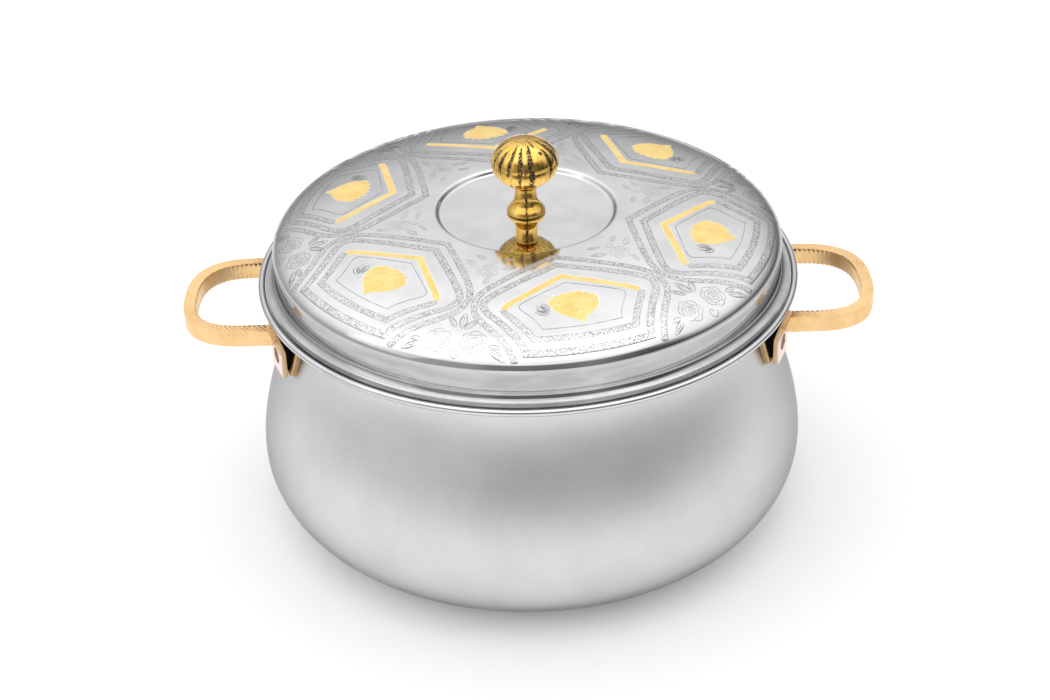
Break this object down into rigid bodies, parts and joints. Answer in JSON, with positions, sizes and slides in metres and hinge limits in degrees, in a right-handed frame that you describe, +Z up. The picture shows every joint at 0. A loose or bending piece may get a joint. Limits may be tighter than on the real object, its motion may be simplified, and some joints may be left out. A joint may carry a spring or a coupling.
{
  "type": "insulated casserole",
  "caption": "Insulated steel serving casserole for flatbread: bellied double-walled pot with gilt loop handles and a domed lift-off lid with a brass knob.",
  "frame": {"origin": "on the table, under the middle of the pot", "axes": "+Z up, +X towards one loop handle, -Y towards the front"},
  "size_m": [0.3092, 0.248, 0.1773],
  "materials": {
    "satin_steel": "satin, faintly brushed round the pot",
    "polished_steel": "bright polished, with etched ornament on the lid",
    "gilt_metal": "rose-gold gilt with dark patina in the cuts",
    "polished_brass": "polished, with black patina in the grooves",
    "plated_steel": "zinc plated",
    "black_plastic": "matt black",
    "insulating_foam": "rigid foam",
    "rubber_plug": "matt"
  },
  "bodies": {
    "pot": {"backing_plate_left_back": "gilt_metal", "backing_plate_left_front": "gilt_metal", "backing_plate_right_back": "gilt_metal", "backing_plate_right_front": "gilt_metal", "base_disc": "satin_steel", "body_insulation": "insulating_foam", "fill_plug": "rubber_plug", "handle_left": "gilt_metal", "handle_nut_left_back": "plated_steel", "handle_nut_left_front": "plated_steel", "handle_nut_right_back": "plated_steel", "handle_nut_right_front": "plated_steel", "handle_right": "gilt_metal", "handle_screw_left_back": "polished_brass", "handle_screw_left_front": "polished_brass", "handle_screw_right_back": "polished_brass", "handle_screw_right_front": "polished_brass", "inner_bowl": "polished_steel", "outer_shell": "satin_steel", "spacer_left_back": "black_plastic", "spacer_left_front": "black_plastic", "spacer_right_back": "black_plastic", "spacer_right_front": "black_plastic"},
    "lid": {"lid_shell": "polished_steel", "lid_liner": "polished_steel", "lid_insulation": "insulating_foam", "knob_ball": "polished_brass", "knob_stem": "polished_brass", "knob_stud": "plated_steel", "knob_washer": "plated_steel", "knob_nut": "plated_steel"}
  },
  "joints": [
    {"name": "lid_lift", "type": "slide", "parent": "pot", "child": "lid", "axis": [0, 0, 1], "range_m": [0, 0.1]}
  ]
}
